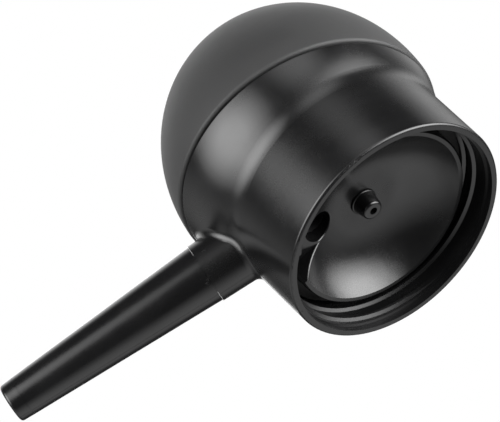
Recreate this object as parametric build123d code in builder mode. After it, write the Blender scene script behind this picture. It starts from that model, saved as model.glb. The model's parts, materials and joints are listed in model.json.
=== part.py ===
from build123d import *
from math import cos, radians, sin, sqrt
import os

# Squeeze-bulb powder blower: a rubber bulb on a hard ball-and-cup housing that
# screws onto a jar neck, with a long tapered nozzle.  Units are millimetres.
# Origin: centre of the cup's mouth.  +Z up towards the bulb, +X along the nozzle.

os.makedirs("parts", exist_ok=True)

# ---------------------------------------------------------------- dimensions
# screw cup
CUP_R = 31.0              # outside radius at the rim
WAIST_R = 31.4            # outside radius where the cup meets the ball
RIM_ROUND = 0.7
LAND_R = 29.2             # plain entry land inside the mouth
LAND_H = 2.2
THREAD_ROOT_R = 28.8      # wall between the thread ridges
THREAD_CREST_R = 28.0
THREAD_PITCH = 4.23       # six turns to the inch
THREAD_TURNS = 2.1
THREAD_START_Z = 3.35
THREAD_START_AZ = -111.0
RIDGE_ROOTED = 0.4        # how far the ridge's foot is sunk in the wall
RIDGE_FOOT = 2.2
RIDGE_TOP = 0.7
RUNOUT_R = 24.0           # radius of the cutter that fades each thread end out
LEDGE_Z = 15.2            # stop for the partition
LEDGE_T = 2.0
LEDGE_R = 26.0

# ball, seam and bulb
BALL_R = 36.5
BALL_Z = 42.5
WALL = 2.2
WAIST_FILLET = 9.0
SEAM_TILT = 8.4           # the seam climbs towards the nozzle
SEAM_DROP = 6.8           # seam plane below the ball's centre
SEAM_GAP = 0.5
SEAM_EDGE = 0.3           # rounding of the housing's edge at the seam
BULB_R = 36.4             # equator of the bulb
BULB_H = 41.7             # equator to pole
BULB_EQUATOR = 2.0        # equator above the seam plane
BULB_WALL = 2.6
SKIRT_BORE_R = 33.4
SKIRT_BORE_H = 4.0
SKIRT_R = 33.3
SKIRT_IN_R = 30.9
HOOP_R = 30.8
HOOP_IN_R = 29.0
HOOP_H = 3.8
HOOP_CHAMFER = 0.5
BEAD_H = 4.0

# nozzle and the boss that holds it
NOZZLE_Z = 23.25          # height of the nozzle's axis above the mouth's centre
NOZZLE_RISE = 7.6         # degrees
BOSS_END = 41.2           # distances along the nozzle's axis
BOSS_IN = 26.0
BOSS_INNER_LENGTH = 5.0
BOSS_R = 8.1
BOSS_ROOT_R = 8.5
BOSS_FILLET = 2.0
SOCKET_R = 5.55
SPIGOT_R = 5.5
SPIGOT_END = 29.5
NOZZLE_BASE_R = 7.85
NOZZLE_END = 99.6
NOZZLE_TIP_R = 5.2
TIP_CAP = 3.7
TIP_CAP_WALL = 1.6
STUB_R = 4.1
OUTLET_R = 2.35
INLET_R = 3.9
NOZZLE_RING_S = 34.0      # centre of the sealing ring's groove
NOZZLE_RING_R = 5.08
NOZZLE_RING_T = 0.45
GROOVE_R = 4.6
GROOVE_W = 1.1
SPIGOT_CHAMFER = 0.6
TIP_ROUND = 0.8

# partition between jar and air chamber
DISH_LIP_Z = 6.3
DISH_LIP_R = 23.7
DISH_LIP_BEVEL = 0.4
DISH_R = 25.1
DISH_FLOOR_Z = 14.2
DISH_FLAT_R = 8.0
DISH_T = 1.6
DISH_WALL_IN = 23.4
FLANGE_R = 27.9
FLANGE_T = 2.0
PORT = (13.4, 4.6)        # outlet port, off the centre line
PORT_R = 4.1
PORT_EDGE = 0.4
CHANNEL_HALF = 4.9        # the port's channel widens to this at the lip
CHANNEL_END_X = 26.0
CHANNEL_TOP = 12.9
CHANNEL_WALL = 1.8
COLLAR_FOOT_Z = 8.5
PORT_COLLAR_R = 7.2
PORT_COLLAR_TOP = 18.8
PORT_SEAT_Z = 16.8
GASKET_T = 1.2
RING_SEAT_R = 26.9        # face ring on top of the partition's flange
RING_SEAT_T = 0.55
RING_SEAT_DEPTH = 1.1
GASKET_R = 28.2
GASKET_GAP = 0.25

# outlet elbow
ELBOW_R = 5.5
ELBOW_IN_R = 4.3
ELBOW_TOP_Z = 24.0
ELBOW_TURN_X = 23.0
ELBOW_END_X = 28.0
ELBOW_BENDS = (6.5, 8.0)
ELBOW_SEAL_T = 0.8

# air jet and its check valve, on the cup's axis
JET_BASE_R = 3.3
JET_TIP_R = 2.75
JET_TIP_Z = 9.65
JET_HOLE_R = 1.05
JET_STEM_R = 2.5
JET_BORE_R = 1.4
JET_STEM_TOP = 18.4
JET_NOSE_R = 0.8
JET_BEAD = 0.3             # half-round bead about the nipple's foot
JET_HOLE_L = 2.0
JET_FLAP_R = 3.8
VALVE_R = 6.4
VALVE_BASE_TOP = 18.6
VALVE_ROOM_R = 4.6
VALVE_PLATE_R = 5.4
VALVE_PLATE_Z = 21.4
VALVE_TOP = 23.0
VALVE_PLATE_HOLE_R = 2.0
VALVE_POST_R = 0.6
VALVE_POST_PITCH_R = 3.3
FLAP_T = 0.6
FLAP_LIFT = 0.6

# air intake at the bulb's pole, heights measured from the seam plane
INTAKE_FLANGE_R = 5.5
INTAKE_FACE = 43.3
INTAKE_FLANGE_T = 0.6
INTAKE_R = 4.0
INTAKE_BORE_R = 3.2
INTAKE_HOLE_R = 1.8
INTAKE_SEAT_T = 1.3
INTAKE_LENGTH = 8.0
FLANGE_CHAMFER = 0.2
CAGE_T = 1.2
CAGE_HOLE_R = 0.75
CAGE_HOLE_PITCH_R = 1.7
PAD_R = 8.0
PAD_H = 39.6
PAD_FLARE = 1.0
NUT_R = 6.4
NUT_H = 2.2

SLIP = 0.05               # radial clearance of pieces pushed together
CUT_PAST = 1.0            # how far a cut runs past the face that it opens
FLAP_GAP = 0.3            # flap to the bore that it moves in
ARC_MIDDLE = 75.0         # degrees up the ball's side, a point between waist and equator

POLE_H = BULB_EQUATOR + BULB_H

# ---------------------------------------------------------------- frames
TILT = radians(SEAM_TILT)
RISE = radians(NOZZLE_RISE)
SEAM_DIR = Vector(-sin(TILT), 0, cos(TILT))
SEAM_CENTRE = Vector(0, 0, BALL_Z) - SEAM_DIR * SEAM_DROP
SEAM = Plane(origin=SEAM_CENTRE, x_dir=(cos(TILT), 0, sin(TILT)), z_dir=SEAM_DIR)
SEAM_AXIS = Axis(SEAM_CENTRE, SEAM_DIR)
SEAM_SECTION = Plane(origin=SEAM_CENTRE, x_dir=SEAM.x_dir, z_dir=(0, -1, 0))

NOZZLE_DIR = Vector(cos(RISE), 0, sin(RISE))
NOZZLE_FOOT = Vector(0, 0, NOZZLE_Z)
NOZZLE_AXIS = Axis(NOZZLE_FOOT, NOZZLE_DIR)
NOZZLE_SECTION = Plane(origin=NOZZLE_FOOT, x_dir=NOZZLE_DIR, z_dir=(0, -1, 0))


def nozzle_plane(distance):
    """Plane square to the nozzle's axis, this far along it."""
    return Plane(
        origin=NOZZLE_FOOT + NOZZLE_DIR * distance,
        x_dir=(0, 1, 0),
        z_dir=NOZZLE_DIR,
    )


# half section on the side away from the nozzle, where nothing crosses a turned face's seam
DISH_SECTION = Plane(origin=(0, 0, 0), x_dir=(-1, 0, 0), z_dir=(0, 1, 0))


def ball_height(radius, ball_radius):
    """Height at which the lower half of a ball has this radius."""
    return BALL_Z - sqrt(ball_radius**2 - radius**2)


def ball_side_arc(start_radius, ball_radius):
    """Arc up the ball's side from this radius to its equator."""
    middle = radians(ARC_MIDDLE)
    ThreePointArc(
        (start_radius, ball_height(start_radius, ball_radius)),
        (ball_radius * sin(middle), BALL_Z - ball_radius * cos(middle)),
        (ball_radius, BALL_Z),
    )


def is_boss_root(edge):
    """True for the edges where the boss leaves the ball and the cup."""
    return edge.geom_type == GeomType.BSPLINE and edge.length < 4 * BOSS_R


# ---------------------------------------------------------------- housing
THREAD_WORK_R = (THREAD_ROOT_R + THREAD_CREST_R) / 2
THREAD_RISE = THREAD_PITCH * THREAD_TURNS
THREAD_END_AZ = THREAD_START_AZ + 360 * THREAD_TURNS
thread_path = Rot(0, 0, THREAD_START_AZ) * Helix(
    pitch=THREAD_PITCH,
    height=THREAD_RISE,
    radius=THREAD_WORK_R,
    center=(0, 0, THREAD_START_Z),
)
thread_start = radians(THREAD_START_AZ)
thread_plane = Plane(
    origin=thread_path @ 0,
    x_dir=(cos(thread_start), sin(thread_start), 0),
    z_dir=thread_path % 0,
)

with BuildPart() as thread:
    with BuildSketch(thread_plane):
        with BuildLine():
            crest_in = THREAD_CREST_R - THREAD_WORK_R
            root_in_wall = THREAD_ROOT_R + RIDGE_ROOTED - THREAD_WORK_R
            Polyline(
                (crest_in, -RIDGE_TOP / 2),
                (crest_in, RIDGE_TOP / 2),
                (root_in_wall, RIDGE_FOOT / 2),
                (root_in_wall, -RIDGE_FOOT / 2),
                close=True,
            )
        make_face()
    sweep(path=thread_path, is_frenet=True)
    # both ends run out into the wall
    runouts = (
        (THREAD_START_AZ, THREAD_START_Z),
        (THREAD_END_AZ, THREAD_START_Z + THREAD_RISE),
    )
    for azimuth, height in runouts:
        shift = THREAD_ROOT_R + 0.05 - RUNOUT_R
        offset_x = shift * cos(radians(azimuth))
        offset_y = shift * sin(radians(azimuth))
        with BuildSketch(Plane.XY.offset(height - THREAD_PITCH / 2)):
            with Locations((offset_x, offset_y)):
                Circle(RUNOUT_R)
        extrude(amount=THREAD_PITCH, mode=Mode.SUBTRACT)

with BuildPart() as housing:
    # outside of cup and ball, with a rounded waist between them
    with BuildSketch(Plane.XZ):
        with BuildLine():
            waist_z = ball_height(WAIST_R, BALL_R)
            Line((0, 0), (CUP_R - RIM_ROUND, 0))
            RadiusArc((CUP_R - RIM_ROUND, 0), (CUP_R, RIM_ROUND), -RIM_ROUND)
            Line((CUP_R, RIM_ROUND), (WAIST_R, waist_z))
            ball_side_arc(WAIST_R, BALL_R)
            Line((BALL_R, BALL_Z), (0, BALL_Z))
            Line((0, BALL_Z), (0, 0))
        make_face()
    revolve(axis=Axis.Z)
    waist_edge = housing.edges().filter_by(GeomType.CIRCLE)
    waist_edge = waist_edge.sort_by(lambda edge: abs(edge.center().Z - waist_z))[0]
    fillet(waist_edge, radius=WAIST_FILLET)

    # boss for the nozzle
    with BuildSketch(NOZZLE_SECTION):
        with BuildLine():
            Polyline(
                (BOSS_IN, 0),
                (BOSS_END, 0),
                (BOSS_END, BOSS_R),
                (BOSS_IN, BOSS_ROOT_R),
                close=True,
            )
        make_face()
    revolve(axis=NOZZLE_AXIS)
    boss_root = housing.edges().filter_by(is_boss_root)
    fillet(boss_root, radius=BOSS_FILLET)

    # everything above the seam belongs to the bulb
    split(bisect_by=SEAM, keep=Keep.BOTTOM)
    seam_edge = housing.edges().filter_by(GeomType.CIRCLE).sort_by(SEAM_AXIS)[-1]
    fillet(seam_edge, radius=SEAM_EDGE)

    # hollow of the cup, ledge and air chamber
    with BuildSketch(Plane.XZ):
        with BuildLine():
            inner_r = BALL_R - WALL
            Polyline(
                (0, -CUT_PAST),
                (LAND_R, -CUT_PAST),
                (LAND_R, LAND_H),
                (THREAD_ROOT_R, LAND_H),
                (THREAD_ROOT_R, LEDGE_Z),
                (LEDGE_R, LEDGE_Z),
                (LEDGE_R, LEDGE_Z + LEDGE_T),
                (LAND_R, LEDGE_Z + LEDGE_T),
                (LAND_R, ball_height(LAND_R, inner_r)),
            )
            ball_side_arc(LAND_R, inner_r)
            Polyline((inner_r, BALL_Z), (0, BALL_Z), (0, -CUT_PAST))
        make_face()
    revolve(axis=Axis.Z, mode=Mode.SUBTRACT)

    # bore at the seam that takes the bulb's skirt
    with BuildSketch(SEAM.offset(-SKIRT_BORE_H)):
        Circle(SKIRT_BORE_R)
    extrude(amount=SKIRT_BORE_H + CUT_PAST, mode=Mode.SUBTRACT)

    # inner end of the boss and the socket through it
    with BuildSketch(nozzle_plane(BOSS_IN)):
        Circle(BOSS_ROOT_R)
    extrude(amount=BOSS_INNER_LENGTH)
    with BuildSketch(nozzle_plane(BOSS_IN)):
        Circle(SOCKET_R)
    extrude(amount=BOSS_END - BOSS_IN, mode=Mode.SUBTRACT)

    add(thread.part)
housing.part.label = "housing"
export_step(housing.part, "parts/housing.step")


# ---------------------------------------------------------------- bulb
with BuildPart() as squeeze_bulb:
    with BuildSketch(SEAM_SECTION):
        # rubber shell: the upper part of two ellipses, cut just above the seam
        with Locations((0, BULB_EQUATOR)):
            Ellipse(BULB_R, BULB_H)
            Ellipse(BULB_R - BULB_WALL, BULB_H - BULB_WALL, mode=Mode.SUBTRACT)
        with Locations((0, SEAM_GAP)):
            Rectangle(
                3 * BULB_R,
                2 * BULB_H,
                align=(Align.CENTER, Align.MAX),
                mode=Mode.SUBTRACT,
            )
        # pad at the pole for the air intake
        with BuildLine():
            Polyline(
                (0, PAD_H),
                (PAD_R, PAD_H),
                (PAD_R + PAD_FLARE, PAD_H + PAD_FLARE),
                (PAD_R + PAD_FLARE, POLE_H - BULB_WALL),
                (0, POLE_H - BULB_WALL / 2),
                close=True,
            )
        make_face()
        # bead, and the skirt that goes into the housing
        with BuildLine():
            bead_out = BULB_R - BULB_WALL / 2
            Polyline(
                (SKIRT_IN_R, SEAM_GAP - SKIRT_BORE_H),
                (SKIRT_R, SEAM_GAP - SKIRT_BORE_H),
                (SKIRT_R, SEAM_GAP),
                (bead_out, SEAM_GAP),
                (bead_out, BEAD_H),
                (SKIRT_IN_R, BEAD_H),
                close=True,
            )
        make_face()
        with Locations((0, BULB_EQUATOR)):
            Rectangle(
                2 * BULB_R,
                3 * BULB_H,
                align=(Align.MAX, Align.CENTER),
                mode=Mode.SUBTRACT,
            )
    revolve(axis=SEAM_AXIS)
    # hole and recess for the air intake
    with BuildSketch(SEAM.offset(PAD_H - CUT_PAST)):
        Circle(INTAKE_R + SLIP)
    extrude(amount=POLE_H - PAD_H + 2 * CUT_PAST, mode=Mode.SUBTRACT)
    with BuildSketch(SEAM.offset(INTAKE_FACE - INTAKE_FLANGE_T - SLIP)):
        Circle(INTAKE_FLANGE_R + SLIP)
    extrude(amount=BULB_WALL, mode=Mode.SUBTRACT)

squeeze_bulb.part.label = "squeeze_bulb"
export_step(squeeze_bulb.part, "parts/squeeze_bulb.step")

with BuildPart() as bulb_clamp_ring:
    # sprung hoop that holds the skirt out against the housing
    with BuildSketch(SEAM.offset(SEAM_GAP - HOOP_H)):
        Circle(HOOP_R)
        Circle(HOOP_IN_R, mode=Mode.SUBTRACT)
    extrude(amount=2 * HOOP_H)
    hoop_rims = bulb_clamp_ring.edges().filter_by(
        lambda edge: edge.geom_type == GeomType.CIRCLE and edge.radius < HOOP_R
    )
    chamfer(hoop_rims, length=HOOP_CHAMFER)

bulb_clamp_ring.part.label = "bulb_clamp_ring"
export_step(bulb_clamp_ring.part, "parts/bulb_clamp_ring.step")


# ---------------------------------------------------------------- air intake
def seam_disc(height, radius, thickness, hole=0):
    """Disc about the bulb's axis, standing up from this height over the seam."""
    with BuildPart() as disc:
        with BuildSketch(SEAM.offset(height)):
            Circle(radius)
            if hole:
                Circle(hole, mode=Mode.SUBTRACT)
        extrude(amount=thickness)
    return disc.part


INTAKE_SEAT = INTAKE_FACE - INTAKE_SEAT_T
INTAKE_END = INTAKE_FACE - INTAKE_LENGTH
INTAKE_FLAP_TOP = INTAKE_SEAT - SLIP
CAGE_TOP = INTAKE_FLAP_TOP - FLAP_T - FLAP_LIFT - SLIP

with BuildPart() as intake_valve_body:
    with BuildSketch(SEAM.offset(INTAKE_END)):
        Circle(INTAKE_R)
    extrude(amount=INTAKE_LENGTH)
    with BuildSketch(SEAM.offset(INTAKE_FACE - INTAKE_FLANGE_T)):
        Circle(INTAKE_FLANGE_R)
    extrude(amount=INTAKE_FLANGE_T)
    flange_rim = intake_valve_body.edges().filter_by(
        lambda edge: edge.geom_type == GeomType.CIRCLE and edge.radius > INTAKE_R
    )
    chamfer(flange_rim.sort_by(SEAM_AXIS)[-1], length=FLANGE_CHAMFER)
    with BuildSketch(SEAM.offset(INTAKE_END)):
        Circle(INTAKE_BORE_R)
    extrude(amount=INTAKE_SEAT - INTAKE_END, mode=Mode.SUBTRACT)
    with BuildSketch(SEAM.offset(INTAKE_SEAT)):
        Circle(INTAKE_HOLE_R)
    extrude(amount=INTAKE_SEAT_T, mode=Mode.SUBTRACT)

intake_valve_body.part.label = "intake_valve_body"
export_step(intake_valve_body.part, "parts/intake_valve_body.step")

with BuildPart() as intake_valve_nut:
    # hexagon nut that pulls the pad up against the intake's flange
    with BuildSketch(SEAM.offset(PAD_H - SLIP - NUT_H)):
        RegularPolygon(radius=NUT_R, side_count=6, major_radius=False)
        Circle(INTAKE_R + SLIP, mode=Mode.SUBTRACT)
    extrude(amount=NUT_H)

intake_valve_nut.part.label = "intake_valve_nut"
export_step(intake_valve_nut.part, "parts/intake_valve_nut.step")

with BuildPart() as intake_valve_flap:
    add(seam_disc(INTAKE_FLAP_TOP - FLAP_T, INTAKE_BORE_R - FLAP_GAP, FLAP_T))

intake_valve_flap.part.label = "intake_valve_flap"
export_step(intake_valve_flap.part, "parts/intake_valve_flap.step")

with BuildPart() as intake_valve_cage:
    # drilled plug that stops the flap from falling out
    add(seam_disc(CAGE_TOP - CAGE_T, INTAKE_BORE_R - SLIP, CAGE_T))
    with BuildSketch(SEAM.offset(CAGE_TOP - CAGE_T)):
        with PolarLocations(CAGE_HOLE_PITCH_R, 4):
            Circle(CAGE_HOLE_R)
    extrude(amount=CAGE_T, mode=Mode.SUBTRACT)

intake_valve_cage.part.label = "intake_valve_cage"
export_step(intake_valve_cage.part, "parts/intake_valve_cage.step")


# ---------------------------------------------------------------- partition
def channel_outline(margin):
    """Channel from the port out through the lip, with this much added all round."""
    x, y = PORT
    near = PORT_R + margin
    far = CHANNEL_HALF + margin
    Polyline(
        (x, y - near),
        (CHANNEL_END_X, y - far),
        (CHANNEL_END_X, y + far),
        (x, y + near),
        close=True,
    )


def is_channel_edge(edge):
    """True for the long edges where the port and its channel cut the bowl's surface."""
    middle = edge @ 0.5
    long_curve = edge.geom_type == GeomType.BSPLINE and edge.length > PORT_R
    beside_port = abs(middle.Y - PORT[1]) < CHANNEL_HALF and middle.X > PORT[0] - 2 * PORT_R
    return long_curve and beside_port and middle.Z < DISH_FLOOR_Z


with BuildPart() as partition_dish:
    dish_drop = DISH_FLOOR_Z - DISH_LIP_Z
    dish_rho = ((DISH_LIP_R - DISH_FLAT_R) ** 2 + dish_drop**2) / 2 / dish_drop
    back_rho = dish_rho + DISH_T
    back_rise = sqrt(back_rho**2 - (DISH_WALL_IN - DISH_FLAT_R) ** 2)
    back_end_z = DISH_FLOOR_Z - dish_rho + back_rise
    # drum with its flange
    with BuildSketch(DISH_SECTION):
        with BuildLine():
            Polyline(
                (0, DISH_LIP_Z),
                (DISH_R - DISH_LIP_BEVEL, DISH_LIP_Z),
                (DISH_R, DISH_LIP_Z + DISH_LIP_BEVEL),
                (DISH_R, LEDGE_Z - SLIP - FLANGE_T),
                (FLANGE_R, LEDGE_Z - SLIP - FLANGE_T),
                (FLANGE_R, LEDGE_Z - SLIP),
                (DISH_WALL_IN, LEDGE_Z - SLIP),
                (DISH_WALL_IN, back_end_z),
            )
            RadiusArc(
                (DISH_WALL_IN, back_end_z),
                (DISH_FLAT_R, DISH_FLOOR_Z + DISH_T),
                -back_rho,
            )
            Polyline(
                (DISH_FLAT_R, DISH_FLOOR_Z + DISH_T),
                (0, DISH_FLOOR_Z + DISH_T),
                (0, DISH_LIP_Z),
            )
        make_face()
    revolve(axis=Axis.Z)
    # collar that takes the elbow, and the roof of the channel beside it
    with BuildSketch(Plane.XY.offset(COLLAR_FOOT_Z)):
        with BuildLine():
            channel_outline(CHANNEL_WALL)
        make_face()
        Circle((DISH_WALL_IN + DISH_R) / 2, mode=Mode.INTERSECT)
    extrude(amount=CHANNEL_TOP + CHANNEL_WALL - COLLAR_FOOT_Z)
    with BuildSketch(Plane.XY.offset(COLLAR_FOOT_Z)):
        with Locations(PORT):
            Circle(PORT_COLLAR_R)
    extrude(amount=PORT_COLLAR_TOP - COLLAR_FOOT_Z)
    # hollow face towards the jar
    with BuildSketch(DISH_SECTION):
        with BuildLine():
            Polyline(
                (DISH_FLAT_R, DISH_FLOOR_Z),
                (0, DISH_FLOOR_Z),
                (0, 0),
                (DISH_LIP_R, 0),
                (DISH_LIP_R, DISH_LIP_Z),
            )
            RadiusArc((DISH_LIP_R, DISH_LIP_Z), (DISH_FLAT_R, DISH_FLOOR_Z), -dish_rho)
        make_face()
    revolve(axis=Axis.Z, mode=Mode.SUBTRACT)
    # channel with the port at its inner end
    with BuildSketch(Plane.XY):
        with BuildLine():
            channel_outline(0)
        make_face()
        with Locations(PORT):
            Circle(PORT_R)
    extrude(amount=CHANNEL_TOP, mode=Mode.SUBTRACT)
    with BuildSketch(Plane.XY):
        with Locations(PORT):
            Circle(PORT_R)
    extrude(amount=PORT_COLLAR_TOP, mode=Mode.SUBTRACT)
    # its edge with the bowl is rounded
    bowl_edges = partition_dish.edges().filter_by(is_channel_edge)
    fillet(bowl_edges, radius=PORT_EDGE)
    with BuildSketch(Plane.XY.offset(PORT_SEAT_Z)):
        with Locations(PORT):
            Circle(ELBOW_R + SLIP)
    extrude(amount=PORT_COLLAR_TOP, mode=Mode.SUBTRACT)
    # hole for the air jet's stem
    with BuildSketch(Plane.XY.offset(DISH_LIP_Z)):
        Circle(JET_STEM_R + SLIP)
    extrude(amount=LEDGE_Z, mode=Mode.SUBTRACT)
    # seat of the face ring
    with BuildSketch(Plane.XY.offset(LEDGE_Z - SLIP - RING_SEAT_DEPTH)):
        Circle(RING_SEAT_R + RING_SEAT_T + SLIP)
        Circle(RING_SEAT_R - RING_SEAT_T - SLIP, mode=Mode.SUBTRACT)
    extrude(amount=LEDGE_T, mode=Mode.SUBTRACT)

partition_dish.part.label = "partition_dish"
export_step(partition_dish.part, "parts/partition_dish.step")


def sealing_ring(centre, normal, ring_r, thickness_r):
    """Round-section sealing ring about this centre and normal."""
    across = Plane(origin=centre, z_dir=normal)
    section = Plane(origin=centre, x_dir=across.x_dir, z_dir=across.y_dir)
    with BuildPart() as ring:
        with BuildSketch(section):
            with Locations((ring_r, 0)):
                Circle(thickness_r)
        revolve(axis=Axis(centre, normal))
    return ring.part


with BuildPart() as partition_oring:
    ring_z = LEDGE_Z - SLIP - RING_SEAT_DEPTH + RING_SEAT_T
    add(sealing_ring(Vector(0, 0, ring_z), Vector(0, 0, 1), RING_SEAT_R, RING_SEAT_T))

partition_oring.part.label = "partition_oring"
export_step(partition_oring.part, "parts/partition_oring.step")

with BuildPart() as cup_gasket:
    # flat washer that the jar's rim is screwed against
    with BuildSketch(Plane.XY.offset(LEDGE_Z - SLIP - FLANGE_T - SLIP - GASKET_T)):
        Circle(GASKET_R)
        Circle(DISH_R + GASKET_GAP, mode=Mode.SUBTRACT)
    extrude(amount=GASKET_T)

cup_gasket.part.label = "cup_gasket"
export_step(cup_gasket.part, "parts/cup_gasket.step")


# ---------------------------------------------------------------- outlet elbow
ELBOW_FOOT_Z = PORT_SEAT_Z + ELBOW_SEAL_T + SLIP


def on_nozzle_axis(x):
    """Point of the nozzle's axis above this x."""
    return (x, 0, NOZZLE_Z + x * sin(RISE) / cos(RISE))


with BuildPart() as outlet_elbow:
    with BuildLine() as elbow_path:
        FilletPolyline(
            (*PORT, ELBOW_FOOT_Z),
            (*PORT, ELBOW_TOP_Z),
            on_nozzle_axis(ELBOW_TURN_X),
            on_nozzle_axis(ELBOW_END_X),
            radius=ELBOW_BENDS,
        )
    with BuildSketch(Plane.XY.offset(ELBOW_FOOT_Z)):
        with Locations(PORT):
            Circle(ELBOW_R)
            Circle(ELBOW_IN_R, mode=Mode.SUBTRACT)
    sweep(path=elbow_path.wires()[0])

outlet_elbow.part.label = "outlet_elbow"
export_step(outlet_elbow.part, "parts/outlet_elbow.step")

with BuildPart() as elbow_seal:
    with BuildSketch(Plane.XY.offset(PORT_SEAT_Z)):
        with Locations(PORT):
            Circle(ELBOW_R)
            Circle(ELBOW_IN_R, mode=Mode.SUBTRACT)
    extrude(amount=ELBOW_SEAL_T)

elbow_seal.part.label = "elbow_seal"
export_step(elbow_seal.part, "parts/elbow_seal.step")


# ---------------------------------------------------------------- air jet and valve
with BuildPart() as air_jet_nipple:
    jet_foot = DISH_FLOOR_Z - SLIP
    with BuildSketch(Plane.XZ):
        with BuildLine():
            Polyline(
                (JET_HOLE_R, JET_TIP_Z),
                (JET_TIP_R - JET_NOSE_R, JET_TIP_Z),
            )
            RadiusArc(
                (JET_TIP_R - JET_NOSE_R, JET_TIP_Z),
                (JET_TIP_R, JET_TIP_Z + JET_NOSE_R),
                -JET_NOSE_R,
            )
            Polyline(
                (JET_TIP_R, JET_TIP_Z + JET_NOSE_R),
                (JET_BASE_R, jet_foot - 2 * JET_BEAD),
            )
            ThreePointArc(
                (JET_BASE_R, jet_foot - 2 * JET_BEAD),
                (JET_BASE_R + JET_BEAD, jet_foot - JET_BEAD),
                (JET_BASE_R, jet_foot),
            )
            Polyline(
                (JET_BASE_R, jet_foot),
                (JET_STEM_R, DISH_FLOOR_Z - SLIP),
                (JET_STEM_R, JET_STEM_TOP),
                (JET_BORE_R, JET_STEM_TOP),
                (JET_BORE_R, JET_TIP_Z + JET_HOLE_L),
                (JET_HOLE_R, JET_TIP_Z + JET_HOLE_L),
                (JET_HOLE_R, JET_TIP_Z),
            )
        make_face()
    revolve(axis=Axis.Z)

air_jet_nipple.part.label = "air_jet_nipple"
export_step(air_jet_nipple.part, "parts/air_jet_nipple.step")

VALVE_FOOT = DISH_FLOOR_Z + DISH_T + SLIP
JET_FLAP_TOP = VALVE_PLATE_Z - SLIP
POST_TOP = JET_FLAP_TOP - FLAP_T - FLAP_LIFT - SLIP

with BuildPart() as jet_valve_body:
    with BuildSketch(Plane.XY.offset(VALVE_FOOT)):
        Circle(VALVE_R)
    extrude(amount=VALVE_TOP - VALVE_FOOT)
    with BuildSketch(Plane.XY.offset(VALVE_FOOT)):
        Circle(JET_STEM_R + SLIP)
    extrude(amount=VALVE_TOP, mode=Mode.SUBTRACT)
    with BuildSketch(Plane.XY.offset(VALVE_BASE_TOP)):
        Circle(VALVE_ROOM_R)
    extrude(amount=VALVE_TOP, mode=Mode.SUBTRACT)
    with BuildSketch(Plane.XY.offset(VALVE_PLATE_Z)):
        Circle(VALVE_PLATE_R + SLIP)
    extrude(amount=VALVE_TOP, mode=Mode.SUBTRACT)
    # posts that hold the flap clear of the stem's bore
    with BuildSketch(Plane.XY.offset(VALVE_BASE_TOP)):
        with PolarLocations(VALVE_POST_PITCH_R, 3):
            Circle(VALVE_POST_R)
    extrude(amount=POST_TOP - VALVE_BASE_TOP)

jet_valve_body.part.label = "jet_valve_body"
export_step(jet_valve_body.part, "parts/jet_valve_body.step")

with BuildPart() as jet_valve_flap:
    with BuildSketch(Plane.XY.offset(JET_FLAP_TOP - FLAP_T)):
        Circle(JET_FLAP_R)
    extrude(amount=FLAP_T)

jet_valve_flap.part.label = "jet_valve_flap"
export_step(jet_valve_flap.part, "parts/jet_valve_flap.step")

with BuildPart() as jet_valve_seat:
    # plate with the one hole that the flap closes
    with BuildSketch(Plane.XY.offset(VALVE_PLATE_Z + SLIP)):
        Circle(VALVE_PLATE_R)
        Circle(VALVE_PLATE_HOLE_R, mode=Mode.SUBTRACT)
    extrude(amount=VALVE_TOP - VALVE_PLATE_Z - SLIP)

jet_valve_seat.part.label = "jet_valve_seat"
export_step(jet_valve_seat.part, "parts/jet_valve_seat.step")


# ---------------------------------------------------------------- nozzle
def taper_radius(distance):
    """Outside radius of the nozzle this far along its axis."""
    along = (distance - BOSS_END) / (NOZZLE_END - BOSS_END)
    return NOZZLE_BASE_R + (NOZZLE_TIP_R - NOZZLE_BASE_R) * along


CAP_START = NOZZLE_END - TIP_CAP
STUB_END = NOZZLE_END - TIP_CAP_WALL - SLIP

with BuildPart() as nozzle:
    with BuildSketch(NOZZLE_SECTION):
        with BuildLine():
            Polyline(
                (SPIGOT_END, INLET_R),
                (SPIGOT_END, SPIGOT_R - SPIGOT_CHAMFER),
                (SPIGOT_END + SPIGOT_CHAMFER, SPIGOT_R),
                (NOZZLE_RING_S - GROOVE_W / 2, SPIGOT_R),
                (NOZZLE_RING_S - GROOVE_W / 2, GROOVE_R),
                (NOZZLE_RING_S + GROOVE_W / 2, GROOVE_R),
                (NOZZLE_RING_S + GROOVE_W / 2, SPIGOT_R),
                (BOSS_END + SLIP, SPIGOT_R),
                (BOSS_END + SLIP, NOZZLE_BASE_R),
                (CAP_START - SLIP, taper_radius(CAP_START)),
                (CAP_START - SLIP, STUB_R),
                (STUB_END, STUB_R),
                (STUB_END, OUTLET_R),
                close=True,
            )
        make_face()
    revolve(axis=NOZZLE_AXIS)

nozzle.part.label = "nozzle"
export_step(nozzle.part, "parts/nozzle.step")

with BuildPart() as nozzle_tip:
    with BuildSketch(NOZZLE_SECTION):
        with BuildLine():
            Polyline(
                (NOZZLE_END - TIP_CAP_WALL, OUTLET_R),
                (NOZZLE_END - TIP_CAP_WALL, STUB_R + SLIP),
                (CAP_START, STUB_R + SLIP),
                (CAP_START, taper_radius(CAP_START)),
                (NOZZLE_END - TIP_ROUND, NOZZLE_TIP_R),
            )
            RadiusArc(
                (NOZZLE_END - TIP_ROUND, NOZZLE_TIP_R),
                (NOZZLE_END, NOZZLE_TIP_R - TIP_ROUND),
                TIP_ROUND,
            )
            Polyline(
                (NOZZLE_END, NOZZLE_TIP_R - TIP_ROUND),
                (NOZZLE_END, OUTLET_R),
                (NOZZLE_END - TIP_CAP_WALL, OUTLET_R),
            )
        make_face()
    revolve(axis=NOZZLE_AXIS)

nozzle_tip.part.label = "nozzle_tip"
export_step(nozzle_tip.part, "parts/nozzle_tip.step")

with BuildPart() as nozzle_oring:
    ring_centre = NOZZLE_FOOT + NOZZLE_DIR * NOZZLE_RING_S
    add(sealing_ring(ring_centre, NOZZLE_DIR, NOZZLE_RING_R, NOZZLE_RING_T))

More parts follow.
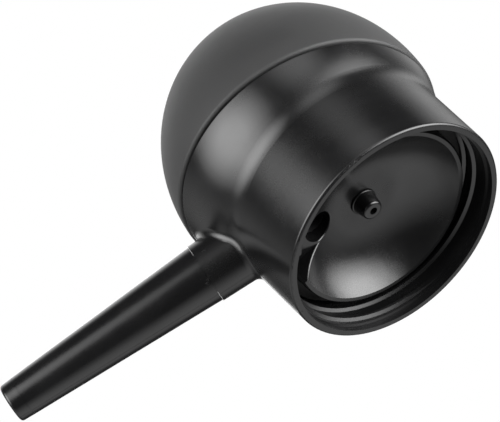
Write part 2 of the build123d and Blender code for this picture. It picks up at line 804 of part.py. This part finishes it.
nozzle_oring.part.label = "nozzle_oring"
export_step(nozzle_oring.part, "parts/nozzle_oring.step")
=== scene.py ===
import json
from math import acos, asin, cos, pi, radians, sin, tan

import bpy
from mathutils import Matrix, Vector


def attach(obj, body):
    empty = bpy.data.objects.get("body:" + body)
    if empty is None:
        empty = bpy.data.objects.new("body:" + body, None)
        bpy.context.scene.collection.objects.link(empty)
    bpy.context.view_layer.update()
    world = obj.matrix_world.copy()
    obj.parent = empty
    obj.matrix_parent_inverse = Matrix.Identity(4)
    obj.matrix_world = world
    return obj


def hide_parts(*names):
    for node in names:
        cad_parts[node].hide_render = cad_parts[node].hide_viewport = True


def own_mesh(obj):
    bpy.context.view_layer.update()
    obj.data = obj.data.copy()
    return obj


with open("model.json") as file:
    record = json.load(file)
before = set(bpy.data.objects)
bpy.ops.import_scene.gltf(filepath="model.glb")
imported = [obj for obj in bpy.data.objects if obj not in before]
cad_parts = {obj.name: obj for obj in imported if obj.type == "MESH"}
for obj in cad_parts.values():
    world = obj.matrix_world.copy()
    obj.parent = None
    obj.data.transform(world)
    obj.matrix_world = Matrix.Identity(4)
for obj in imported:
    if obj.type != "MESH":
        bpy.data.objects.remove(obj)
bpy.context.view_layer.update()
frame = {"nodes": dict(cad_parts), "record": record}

MM = 0.001

# ---------------------------------------------------------------- frame values
# The seam between bulb and housing, and the nozzle's axis, as in the CAD model.
SEAM_TILT = radians(8.4)
BALL_CENTRE = Vector((0, 0, 42.5)) * MM
SEAM_DROP = 6.8 * MM
SEAM_UP = Vector((-sin(SEAM_TILT), 0, cos(SEAM_TILT)))
SEAM_SIDE = Vector((cos(SEAM_TILT), 0, sin(SEAM_TILT)))
SEAM_CENTRE = BALL_CENTRE - SEAM_UP * SEAM_DROP
SEAM_FRAME = Matrix((SEAM_SIDE, Vector((0, 1, 0)), SEAM_UP)).transposed().to_4x4()
SEAM_FRAME.translation = SEAM_CENTRE

NOZZLE_RISE = radians(7.6)
NOZZLE_FOOT = Vector((0, 0, 23.25)) * MM
NOZZLE_DIR = Vector((cos(NOZZLE_RISE), 0, sin(NOZZLE_RISE)))
BOSS_END = 41.2 * MM

# bulb, in millimetres over the seam plane
BULB_R = 36.4
BULB_H = 41.7
BULB_EQUATOR = 2.0
BULB_WALL = 2.6
SEAM_GAP = 0.5
SKIRT_DEPTH = 3.5
LIP_ROUND = 0.9
SKIRT_R = 33.3
SKIRT_IN_R = 30.9
BEAD_H = 4.0
PAD_R = 8.0
PAD_H = 39.6
HOLE_R = 4.05
RECESS_R = 5.55
RECESS_H = 41.95  # leaves room for the intake's flange when the bulb is flattened
BULB_TURNS = 256
OUTSIDE_STEPS = 120
INSIDE_STEPS = 80


# ---------------------------------------------------------------- camera
CAMERA_TARGET = Vector((21.8, 0.6, 34.7)) * MM
CAMERA_DISTANCE = 634.0 * MM
CAMERA_AZIMUTH = radians(81.24)
CAMERA_ELEVATION = radians(-40.06)
CAMERA_ROLL = radians(45.29)
CAMERA_LENS = 181.2


def direction(azimuth, elevation):
    """Unit vector that points this way from the object."""
    return Vector(
        (
            cos(elevation) * cos(azimuth),
            cos(elevation) * sin(azimuth),
            sin(elevation),
        )
    )


def link(name, data):
    """New object in the scene."""
    made = bpy.data.objects.new(name, data)
    bpy.context.scene.collection.objects.link(made)
    return made


def make_camera():
    """Long lens that looks up into the cup, turned about its own axis."""
    data = bpy.data.cameras.new("camera")
    data.lens = CAMERA_LENS
    data.sensor_width = 36.0
    data.clip_start = 0.01
    camera = link("camera", data)
    back = direction(CAMERA_AZIMUTH, CAMERA_ELEVATION)
    upright = (Vector((0, 0, 1)) - back * back.z).normalized()
    side = upright.cross(back)
    up = upright * cos(CAMERA_ROLL) + side * sin(CAMERA_ROLL)
    right = up.cross(back)
    turned = Matrix((right, up, back)).transposed().to_4x4()
    turned.translation = CAMERA_TARGET + back * CAMERA_DISTANCE
    camera.matrix_world = turned
    bpy.context.scene.camera = camera


# ---------------------------------------------------------------- node helpers
class Shader:
    """One material and short calls that add nodes to it."""

    def __init__(self, name):
        self.material = bpy.data.materials.new(name)
        self.material.use_nodes = True
        self.tree = self.material.node_tree
        self.surface = self.tree.nodes["Principled BSDF"]
        place = self.tree.nodes.new("ShaderNodeTexCoord")
        self.place = place.outputs["Object"]

    def join(self, source, socket):
        """Links a value or sets a plain number on a socket."""
        if isinstance(source, bpy.types.NodeSocket):
            self.tree.links.new(source, socket)
        else:
            socket.default_value = source

    def maths(self, operation, first, second=0.0, third=0.0):
        """One math node."""
        node = self.tree.nodes.new("ShaderNodeMath")
        node.operation = operation
        for socket, value in zip(node.inputs, (first, second, third)):
            self.join(value, socket)
        return node.outputs[0]

    def noise(self, scale, detail=2.0, roughness=0.5, stretch=None):
        """Noise over the object's own place, stretched along an axis if asked."""
        node = self.tree.nodes.new("ShaderNodeTexNoise")
        node.inputs["Scale"].default_value = scale
        node.inputs["Detail"].default_value = detail
        node.inputs["Roughness"].default_value = roughness
        place = self.place
        if stretch:
            mapping = self.tree.nodes.new("ShaderNodeMapping")
            mapping.inputs["Scale"].default_value = stretch
            self.tree.links.new(place, mapping.inputs["Vector"])
            place = mapping.outputs["Vector"]
        self.tree.links.new(place, node.inputs["Vector"])
        return node.outputs["Fac"]

    def span(self, value, low, high, out_low, out_high, smooth=True):
        """Maps a value from one range to another, and stops at its ends."""
        node = self.tree.nodes.new("ShaderNodeMapRange")
        node.interpolation_type = "SMOOTHSTEP" if smooth else "LINEAR"
        self.join(value, node.inputs["Value"])
        for name, number in zip(
            ("From Min", "From Max", "To Min", "To Max"),
            (low, high, out_low, out_high),
        ):
            node.inputs[name].default_value = number
        return node.outputs["Result"]

    def along(self, axis, origin):
        """Distance of a point from origin along an axis, in metres."""
        node = self.tree.nodes.new("ShaderNodeVectorMath")
        node.operation = "DOT_PRODUCT"
        self.tree.links.new(self.place, node.inputs[0])
        node.inputs[1].default_value = axis
        return self.maths("SUBTRACT", node.outputs["Value"], axis.dot(origin))

    def tint(self, factor, dark, light):
        """Base colour that moves between two colours."""
        node = self.tree.nodes.new("ShaderNodeMix")
        node.data_type = "RGBA"
        self.join(factor, node.inputs["Factor"])
        node.inputs["A"].default_value = (*dark, 1)
        node.inputs["B"].default_value = (*light, 1)
        self.tree.links.new(node.outputs["Result"], self.surface.inputs["Base Color"])

    def bump(self, height, distance, strength=1.0):
        """Bump from a height in units of distance, on top of any before."""
        node = self.tree.nodes.new("ShaderNodeBump")
        node.inputs["Strength"].default_value = strength
        node.inputs["Distance"].default_value = distance
        self.join(height, node.inputs["Height"])
        before = self.surface.inputs["Normal"].links
        if before:
            self.tree.links.new(before[0].from_socket, node.inputs["Normal"])
        self.tree.links.new(node.outputs["Normal"], self.surface.inputs["Normal"])


# scuffs on both sides of the nozzle's seam
WORN_REACH = (0.3 * MM, 4 * MM)
WORN_ROUGHER = 0.35
WORN_LIGHTER = 14.0

# parting line of the mould
PARTING_EDGE = 0.04 * MM
PARTING_HALF = 0.16 * MM
PARTING_FROM = (29.6 * MM, 30.2 * MM)


def gloss_plastic(name, rough, colour=0.004, scuffed=False):
    """Black moulded plastic: flow marks, faint orange peel, smudges and fine scuffs."""
    shader = Shader(name)
    smudge = shader.noise(55, detail=4, roughness=0.6)
    flow = shader.noise(28, detail=3, stretch=(1, 1, 5))
    fine = shader.noise(2600, detail=2)
    uneven = shader.span(smudge, 0.35, 0.7, -0.02, 0.05)
    grain = shader.span(fine, 0.3, 0.7, -0.015, 0.015)
    roughness = shader.maths("ADD", shader.maths("ADD", uneven, grain), rough)
    shade = shader.span(flow, 0.3, 0.7, 0.0, 1.0)
    if scuffed:
        scratches = shader.noise(900, detail=4, roughness=0.75)
        end = shader.along(NOZZLE_DIR, NOZZLE_FOOT + NOZZLE_DIR * BOSS_END)
        near = shader.span(shader.maths("ABSOLUTE", end), *WORN_REACH, 1.0, 0.0)
        patch = shader.span(shader.noise(160, detail=2), 0.5, 0.62, 0.0, 1.0)
        marks = shader.span(scratches, 0.58, 0.7, 0.0, 1.0)
        worn = shader.maths("MULTIPLY", shader.maths("MULTIPLY", near, patch), marks)
        roughness = shader.maths("MULTIPLY_ADD", worn, WORN_ROUGHER, roughness)
        shade = shader.maths("MULTIPLY_ADD", worn, WORN_LIGHTER, shade)
        shader.bump(worn, 0.03 * MM, 0.6)
        # parting line of the mould, outside the cup, in the plane through cup and nozzle
        aside = shader.maths("ABSOLUTE", shader.along(Vector((0, 1, 0)), Vector()))
        parting = shader.span(aside, PARTING_EDGE, PARTING_HALF, 1.0, 0.0)
        reach = shader.maths("ABSOLUTE", shader.along(Vector((1, 0, 0)), Vector()))
        outside = shader.span(reach, *PARTING_FROM, 0.0, 1.0)
        shader.bump(shader.maths("MULTIPLY", parting, outside), 0.03 * MM)
    shader.join(roughness, shader.surface.inputs["Roughness"])
    low = (colour * 0.75, colour * 0.75, colour * 0.78)
    high = (colour * 1.25, colour * 1.25, colour * 1.3)
    shader.tint(shade, low, high)
    shader.surface.inputs["IOR"].default_value = 1.49
    shader.bump(shader.noise(420, detail=2), 0.004 * MM)
    shader.bump(fine, 0.0012 * MM)
    return shader.material


def rubber(name, colour, rough, grain=0.02):
    """Matte black rubber with a fine grain and a dusty bloom."""
    shader = Shader(name)
    bloom = shader.noise(48, detail=5, roughness=0.6)
    speck = shader.noise(3200, detail=3, roughness=0.7)
    shade = shader.maths("MULTIPLY_ADD", bloom, 0.75, shader.maths("MULTIPLY", speck, 0.35))
    shader.tint(
        shader.span(shade, 0.3, 0.8, 0.0, 1.0),
        (colour * 0.82, colour * 0.82, colour * 0.84),
        (colour * 1.2, colour * 1.2, colour * 1.2),
    )
    shader.join(
        shader.span(bloom, 0.3, 0.7, rough - 0.05, rough + 0.06),
        shader.surface.inputs["Roughness"],
    )
    shader.surface.inputs["IOR"].default_value = 1.5
    shader.surface.inputs["Sheen Weight"].default_value = 0.06
    shader.surface.inputs["Sheen Roughness"].default_value = 0.4
    shader.bump(shader.noise(1500, detail=4, roughness=0.65), grain * MM)
    return shader.material


def spring_steel(name):
    """Drawn steel strip with lines along it."""
    shader = Shader(name)
    lines = shader.noise(300, detail=3, stretch=(1, 1, 14))
    shader.tint(lines, (0.32, 0.32, 0.33), (0.5, 0.5, 0.51))
    shader.surface.inputs["Metallic"].default_value = 1.0
    shader.join(
        shader.span(lines, 0.3, 0.7, 0.25, 0.42),
        shader.surface.inputs["Roughness"],
    )
    shader.bump(lines, 0.004 * MM)
    return shader.material


# ---------------------------------------------------------------- mesh helpers
def line(first, last, steps):
    """Points from first up to, but not with, last."""
    return [
        (
            first[0] + (last[0] - first[0]) * i / steps,
            first[1] + (last[1] - first[1]) * i / steps,
        )
        for i in range(steps)
    ]


def oval(centre_h, radius, height, start_h, end_r, steps):
    """Part of an ellipse, from a height up to a radius near the pole."""
    first = asin((start_h - centre_h) / height)
    last = acos(end_r / radius)
    angles = [first + (last - first) * i / steps for i in range(steps + 1)]
    return [(radius * cos(a), centre_h + height * sin(a)) for a in angles]


def lathe(name, outline, turns, place):
    """Closed ring of quads: the outline (r, h in mm) turned about the local Z."""
    count = len(outline)
    points = []
    for i in range(turns):
        angle = 2 * pi * i / turns
        for r, h in outline:
            points.append(place @ Vector((r * cos(angle) * MM, r * sin(angle) * MM, h * MM)))
    faces = []
    for i in range(turns):
        for j in range(count):
            a = i * count + j
            b = i * count + (j + 1) % count
            c = (i + 1) % turns * count + (j + 1) % count
            d = (i + 1) % turns * count + j
            faces.append((a, d, c, b))
    mesh = bpy.data.meshes.new(name)
    mesh.from_pydata(points, [], faces)
    mesh.update()
    mesh.shade_smooth()
    return link(name, mesh)


# ---------------------------------------------------------------- bulb
def bulb_outline():
    """Section of the rubber bulb, from the lip at the seam round to it again."""
    lip = LIP_ROUND
    outside = oval(
        BULB_EQUATOR, BULB_R, BULB_H, SEAM_GAP + lip, RECESS_R + 0.15, OUTSIDE_STEPS
    )
    edge_r = outside[0][0]
    rounded = [
        (edge_r - lip + lip * sin(a), SEAM_GAP + lip - lip * cos(a))
        for a in [radians(x) for x in range(0, 90, 9)]
    ]
    top_h = outside[-1][1]
    recess = [
        (RECESS_R + 0.03, top_h - 0.06),
        (RECESS_R, top_h - 0.16),
        (RECESS_R, RECESS_H),
        (RECESS_R - 0.1, RECESS_H),
        (HOLE_R + 0.1, RECESS_H),
        (HOLE_R, RECESS_H - 0.1),
        (HOLE_R, PAD_H + 0.2),
        (HOLE_R + 0.2, PAD_H),
    ]
    pad = line((HOLE_R + 0.2, PAD_H), (PAD_R, PAD_H), 3)
    inside = oval(
        BULB_EQUATOR,
        BULB_R - BULB_WALL,
        BULB_H - BULB_WALL,
        BEAD_H,
        PAD_R + 1,
        INSIDE_STEPS,
    )
    bead = [
        (SKIRT_IN_R + 0.4, BEAD_H),
        (SKIRT_IN_R, BEAD_H - 0.4),
        (SKIRT_IN_R, 0.3 - SKIRT_DEPTH),
        (SKIRT_IN_R + 0.3, -SKIRT_DEPTH),
        (SKIRT_R - 0.3, -SKIRT_DEPTH),
        (SKIRT_R, 0.3 - SKIRT_DEPTH),
        (SKIRT_R, SEAM_GAP - 0.2),
        (SKIRT_R + 0.2, SEAM_GAP),
    ]
    return rounded + outside + recess + pad[1:] + inside[::-1] + bead


def make_bulb():
    """Rubber bulb, its section turned about the seam's axis."""
    bulb = lathe("bulb_skin", bulb_outline(), BULB_TURNS, SEAM_FRAME)
    bulb.data.materials.append(rubber("bulb_rubber", 0.016, 0.6))
    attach(bulb, "housing")
    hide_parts("squeeze_bulb")
    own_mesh(bulb)


# ---------------------------------------------------------------- CAD materials
def dress_cad_nodes():
    """Gives each carried-over CAD node its material."""
    housing = gloss_plastic("housing_plastic", 0.24, scuffed=True)
    nozzle = gloss_plastic("nozzle_plastic", 0.2, scuffed=True)
    inner = gloss_plastic("inner_plastic", 0.4, colour=0.016)
    nipple = gloss_plastic("nipple_plastic", 0.16)
    seal = rubber("seal_rubber", 0.02, 0.55, grain=0.01)
    steel = spring_steel("hoop_steel")
    choices = {
        "housing_plastic": housing,
        "nozzle_plastic": nozzle,
        "inner_plastic": inner,
        "nipple_plastic": nipple,
        "seal_rubber": seal,
        "hoop_steel": steel,
    }
    for part in frame["record"]["subparts"]:
        node = frame["nodes"][part["node"]]
        material = choices.get(part["material_slot"])
        if material is None:
            continue
        node.data.materials.clear()
        node.data.materials.append(material)


# ---------------------------------------------------------------- stage
FLOOR_HALF = 3.0
FLOOR_GAP = 0.02 * MM
LIGHT_CENTRE = Vector((15, 0, 35)) * MM
LIGHT_DISTANCE = 1.1
LIGHT_LAYERS = (0.55, 0.8, 1.05, 1.3)
LAYER_GAP = 0.002


def softbox(name, azimuth, elevation, wide, high, radiance):
    """Soft light seen from the object in this direction, sized in degrees.

    Nested ellipses, each with its share of the radiance, fade it towards its edge.
    """
    towards = direction(radians(azimuth), radians(elevation))
    for layer, scale in enumerate(LIGHT_LAYERS):
        data = bpy.data.lights.new(f"{name}_{layer}", "AREA")
        data.shape = "ELLIPSE"
        data.size = 2 * LIGHT_DISTANCE * tan(radians(wide * scale / 2))
        data.size_y = 2 * LIGHT_DISTANCE * tan(radians(high * scale / 2))
        area = pi / 4 * data.size * data.size_y
        data.energy = radiance / len(LIGHT_LAYERS) * pi * area
        lamp = link(data.name, data)
        lamp.location = LIGHT_CENTRE + towards * (LIGHT_DISTANCE + layer * LAYER_GAP)
        lamp.rotation_mode = "QUATERNION"
        lamp.rotation_quaternion = towards.to_track_quat("Z", "Y")
        lamp.visible_camera = False


def make_world():
    """White surround for the camera, dim grey for everything that it lights."""
    world = bpy.data.worlds.new("studio")
    world.use_nodes = True
    tree = world.node_tree
    tree.nodes.clear()
    out = tree.nodes.new("ShaderNodeOutputWorld")
    mix = tree.nodes.new("ShaderNodeMixShader")
    path = tree.nodes.new("ShaderNodeLightPath")
    dim = tree.nodes.new("ShaderNodeBackground")
    white = tree.nodes.new("ShaderNodeBackground")
    dim.inputs["Color"].default_value = (0.07, 0.07, 0.07, 1)
    white.inputs["Color"].default_value = (1, 1, 1, 1)
    tree.links.new(path.outputs["Is Camera Ray"], mix.inputs["Fac"])
    tree.links.new(dim.outputs["Background"], mix.inputs[1])
    tree.links.new(white.outputs["Background"], mix.inputs[2])
    tree.links.new(mix.outputs["Shader"], out.inputs["Surface"])
    bpy.context.scene.world = world


def make_floor():
    """Pale floor under the cup's rim.  It is one-sided: seen from below it is clear."""
    half = FLOOR_HALF
    mesh = bpy.data.meshes.new("floor")
    corners = [(-half, -half, 0), (half, -half, 0), (half, half, 0), (-half, half, 0)]
    mesh.from_pydata(corners, [], [(0, 1, 2, 3)])
    floor = link("floor", mesh)
    floor.location.z = -FLOOR_GAP
    material = bpy.data.materials.new("floor")
    material.use_nodes = True
    tree = material.node_tree
    surface = tree.nodes["Principled BSDF"]
    surface.inputs["Base Color"].default_value = (0.86, 0.86, 0.86, 1)
    surface.inputs["Roughness"].default_value = 0.7
    clear = tree.nodes.new("ShaderNodeBsdfTransparent")
    side = tree.nodes.new("ShaderNodeNewGeometry")
    mix = tree.nodes.new("ShaderNodeMixShader")
    tree.links.new(side.outputs["Backfacing"], mix.inputs["Fac"])
    tree.links.new(surface.outputs["BSDF"], mix.inputs[1])
    tree.links.new(clear.outputs["BSDF"], mix.inputs[2])
    tree.links.new(mix.outputs["Shader"], tree.nodes["Material Output"].inputs["Surface"])
    mesh.materials.append(material)
    for kind in ("diffuse", "glossy", "transmission", "shadow"):
        setattr(floor, f"visible_{kind}", False)


def make_lights():
    """Softboxes, each given by where the object sees it."""
    softbox("key", 48, 6, 56, 52, 8.0)
    softbox("cup_light", 163, -30, 66, 54, 12.0)
    softbox("side_strip", 118, 14, 34, 44, 2.2)
    softbox("back_fill", 205, 28, 44, 30, 1.2)
    softbox("far_fill", 340, 10, 50, 60, 0.7)
    softbox("low_fill", 300, -50, 90, 60, 1.1)
    softbox("top", 270, 72, 60, 50, 1.5)
    softbox("end_glint", 266, 41, 24, 24, 2.5)


bpy.context.scene.view_settings.view_transform = "Standard"
make_camera()
make_world()
make_floor()
make_lights()
make_bulb()
dress_cad_nodes()
